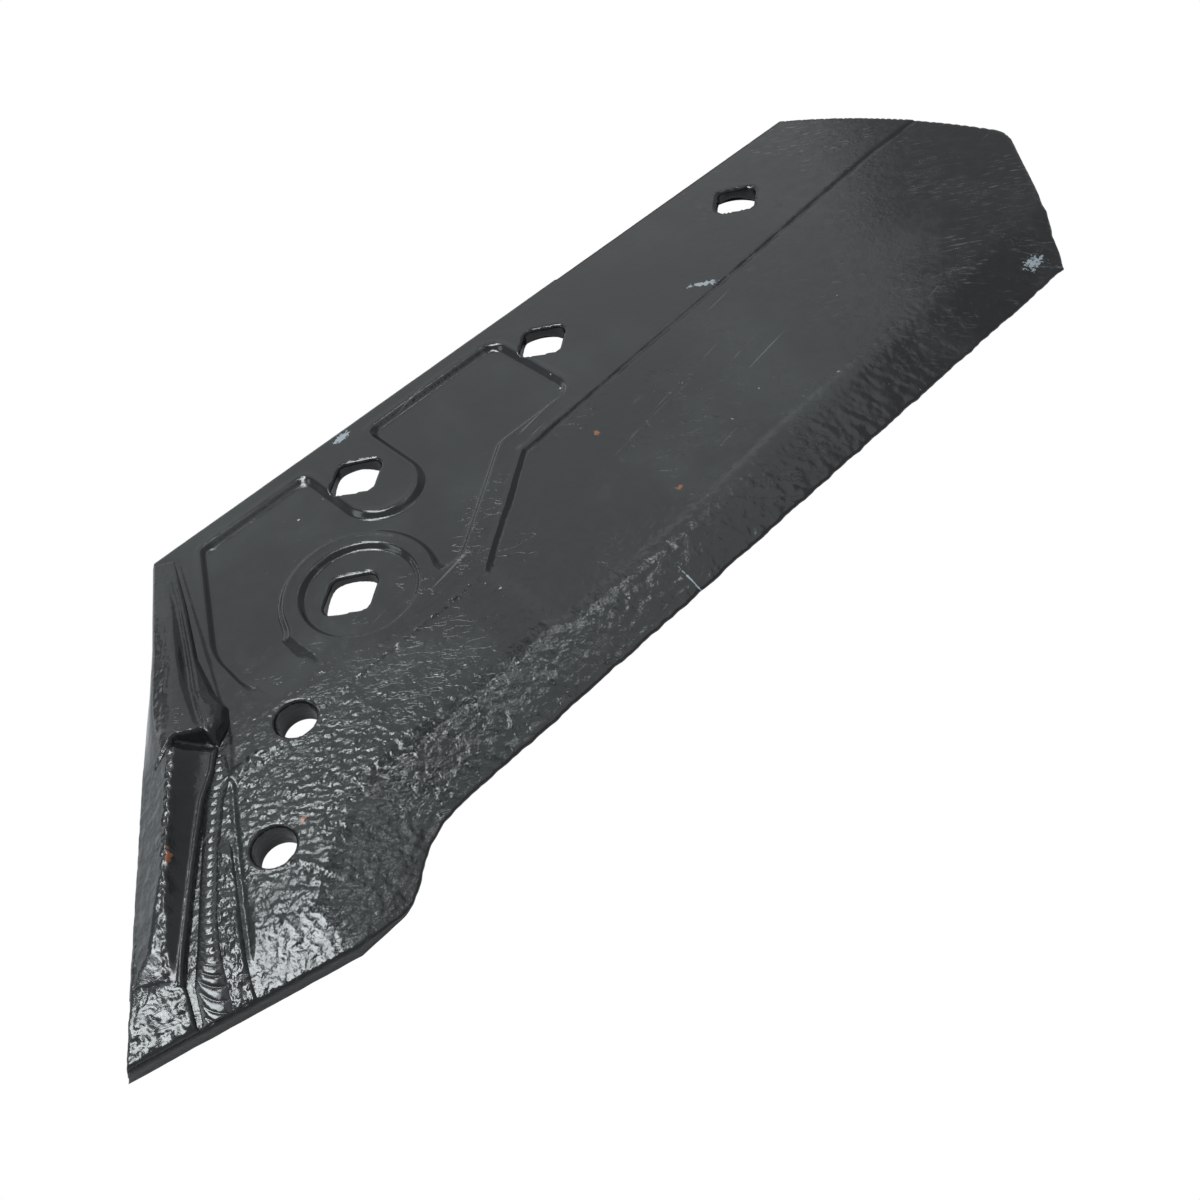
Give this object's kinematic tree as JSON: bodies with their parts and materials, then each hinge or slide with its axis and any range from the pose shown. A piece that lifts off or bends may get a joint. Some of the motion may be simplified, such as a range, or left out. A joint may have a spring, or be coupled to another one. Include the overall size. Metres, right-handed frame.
{
  "type": "plough share",
  "caption": "Forged mouldboard plough share with beak point, diamond and round bolt holes, relief pocket and welded landside bar.",
  "frame": {"origin": "middle of the plan outline's bounding box, on the flat working face the share lies on", "axes": "+X along the cutting edge towards the tail, +Y across the share towards its top edge, +Z out of the back (frog side)"},
  "size_m": [0.4692, 0.1644, 0.018],
  "materials": {
    "painted_forging": "gloss black paint over forged steel",
    "painted_bar": "gloss black paint over rough-cut steel",
    "painted_weld": "gloss black paint over a rippled weld bead",
    "painted_rough_weld": "gloss black paint over a lumpy weld run",
    "painted_facing": "gloss black paint over coarse hard facing"
  },
  "bodies": {
    "root": {"share_blade": "painted_forging", "landside_bar": "painted_bar", "bar_weld": "painted_weld", "point_weld": "painted_rough_weld", "tip_hardfacing": "painted_facing"}
  },
  "joints": []
}
